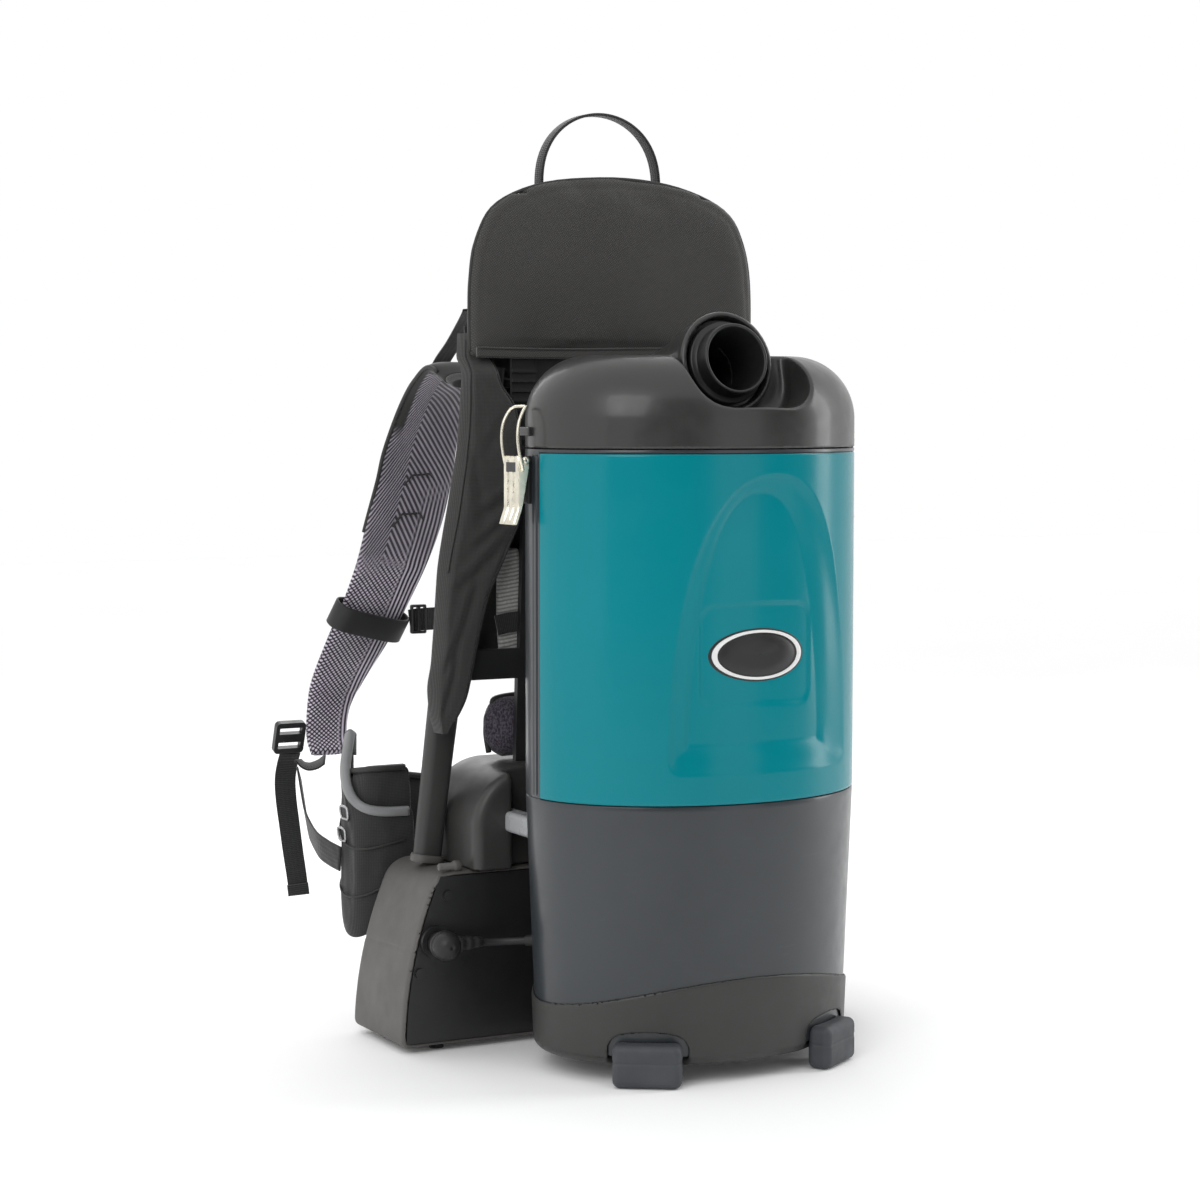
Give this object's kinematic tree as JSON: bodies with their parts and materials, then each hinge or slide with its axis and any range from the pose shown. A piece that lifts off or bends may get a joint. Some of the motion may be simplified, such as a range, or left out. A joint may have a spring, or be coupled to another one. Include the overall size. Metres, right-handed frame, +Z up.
{
  "type": "backpack vacuum cleaner",
  "caption": "Battery backpack vacuum cleaner: oval canister with latched domed lid and swivel hose inlet on a padded harness frame with belt and battery box.",
  "frame": {"origin": "on the floor, under the middle of the whole object", "axes": "+Z up, -Y towards the canister's front, +Y towards the wearer, +X to the right as seen from the canister's front"},
  "size_m": [0.43, 0.4882, 0.773],
  "materials": {
    "grey_blue_plastic": "satin moulded plastic",
    "teal_plastic": "gloss moulded plastic",
    "badge_plate": "gloss plate with a pale rim",
    "dark_plastic": "fine textured moulded plastic",
    "black_plastic": "satin moulded plastic",
    "box_plastic": "fine textured moulded plastic",
    "frame_plastic": "satin moulded plastic",
    "pale_plastic": "gloss moulded plastic",
    "zinc": "zinc plated",
    "steel": "turned",
    "aluminium": "cast and pressed",
    "seal_rubber": "soft matt",
    "foot_rubber": "soft matt",
    "soft_black": "soft matt",
    "filter_felt": "pressed fibre",
    "hood_fabric": "fine woven",
    "belt_fabric": "woven",
    "mesh_fabric": "spacer mesh over foam",
    "pale_mesh": "open mesh",
    "webbing": "ribbed webbing"
  },
  "bodies": {
    "machine": {"canister_tub": "grey_blue_plastic", "front_cover": "teal_plastic", "badge": "badge_plate", "base_bumper": "dark_plastic", "motor_body": "steel", "fan_shroud": "aluminium", "motor_mounts": "seal_rubber", "exhaust_filter": "filter_felt", "filter_basket": "black_plastic", "cloth_filter": "filter_felt", "dust_bag": "filter_felt", "battery_box": "box_plastic", "box_cover": "black_plastic", "box_screws": "steel", "box_feet": "seal_rubber", "battery_pack": "black_plastic", "power_socket": "black_plastic", "plug": "soft_black", "switch_bezel": "black_plastic", "battery_lead": "soft_black", "lead_gland": "soft_black", "saddle": "black_plastic", "mount_lugs": "pale_plastic", "back_plate": "black_plastic", "top_pad": "hood_fabric", "back_pad": "mesh_fabric", "lumbar_pad": "mesh_fabric", "sternum_straps": "webbing", "sternum_buckle": "black_plastic", "lower_straps": "webbing", "front_feet": "foot_rubber", "latch_brackets": "zinc", "cord_hooks": "black_plastic", "ladder_rails": "webbing", "strap_roots": "hood_fabric", "side_panels": "hood_fabric", "mesh_pads": "pale_mesh", "load_lifters": "webbing", "ladder_locks": "black_plastic", "frame_upright_left": "frame_plastic", "shoulder_strap_left": "mesh_fabric", "frame_upright_right": "frame_plastic", "shoulder_strap_right": "mesh_fabric"},
    "lid": {"lid": "dark_plastic", "lid_seal": "seal_rubber"},
    "inlet": {"inlet_cuff": "black_plastic", "inlet_retainer": "black_plastic"},
    "rotor": {"fan_rotor": "aluminium"},
    "latch_lever_left": {"latch_lever_left": "zinc"},
    "latch_lever_right": {"latch_lever_right": "zinc"},
    "latch_bail_left": {"latch_bail_left": "zinc"},
    "latch_bail_right": {"latch_bail_right": "zinc"},
    "power_switch": {"power_switch": "black_plastic"},
    "handle": {"carry_handle": "webbing"},
    "belt_left": {"belt_wing_left": "belt_fabric", "belt_web_left": "webbing", "belt_tongue": "black_plastic"},
    "belt_right": {"belt_wing_right": "belt_fabric", "belt_web_right": "webbing", "belt_buckle": "black_plastic"}
  },
  "joints": [
    {"name": "lid_lift", "type": "slide", "parent": "machine", "child": "lid", "axis": [0, 0, 1], "range_m": [0, 0.14]},
    {"name": "inlet_swivel", "type": "hinge", "parent": "lid", "child": "inlet", "pos_m": [0, -0.1883, 0.5594], "axis": [0, -0.9781, 0.2079], "continuous": true},
    {"name": "rotor_spin", "type": "hinge", "parent": "machine", "child": "rotor", "pos_m": [0, -0.1349, 0.13], "axis": [0, 0, 1], "continuous": true},
    {"name": "switch_rock", "type": "hinge", "parent": "machine", "child": "power_switch", "pos_m": [0.18907, 0.0171, 0.088], "axis": [0, 1, 0], "range_deg": [0, 14]},
    {"name": "handle_fold", "type": "hinge", "parent": "machine", "child": "handle", "pos_m": [0, 0.0231, 0.705], "axis": [-1, 0, 0], "range_deg": [-25, 80], "stiffness_Nm_per_rad": 0.02},
    {"name": "latch_lever_left", "type": "hinge", "parent": "machine", "child": "latch_lever_left", "pos_m": [-0.147, -0.1219, 0.484], "axis": [0, 1, 0], "range_deg": [0, 100]},
    {"name": "latch_bail_left", "type": "hinge", "parent": "latch_lever_left", "child": "latch_bail_left", "pos_m": [-0.1504, -0.1219, 0.476], "axis": [0, -1, 0], "range_deg": [0, 140]},
    {"name": "belt_fold_left", "type": "hinge", "parent": "machine", "child": "belt_left", "pos_m": [-0.15, 0.0771, 0.15], "axis": [0, 0, -1], "range_deg": [0, 35]},
    {"name": "latch_lever_right", "type": "hinge", "parent": "machine", "child": "latch_lever_right", "pos_m": [0.147, -0.1219, 0.484], "axis": [0, -1, 0], "range_deg": [0, 100]},
    {"name": "latch_bail_right", "type": "hinge", "parent": "latch_lever_right", "child": "latch_bail_right", "pos_m": [0.1504, -0.1219, 0.476], "axis": [0, 1, 0], "range_deg": [0, 140]},
    {"name": "belt_fold_right", "type": "hinge", "parent": "machine", "child": "belt_right", "pos_m": [0.15, 0.0771, 0.15], "axis": [0, 0, 1], "range_deg": [0, 35]}
  ],
  "couplings": [
    {"joint": "latch_bail_left", "follows": "latch_lever_left", "ratio": 1.35},
    {"joint": "latch_bail_right", "follows": "latch_lever_right", "ratio": 1.35}
  ]
}
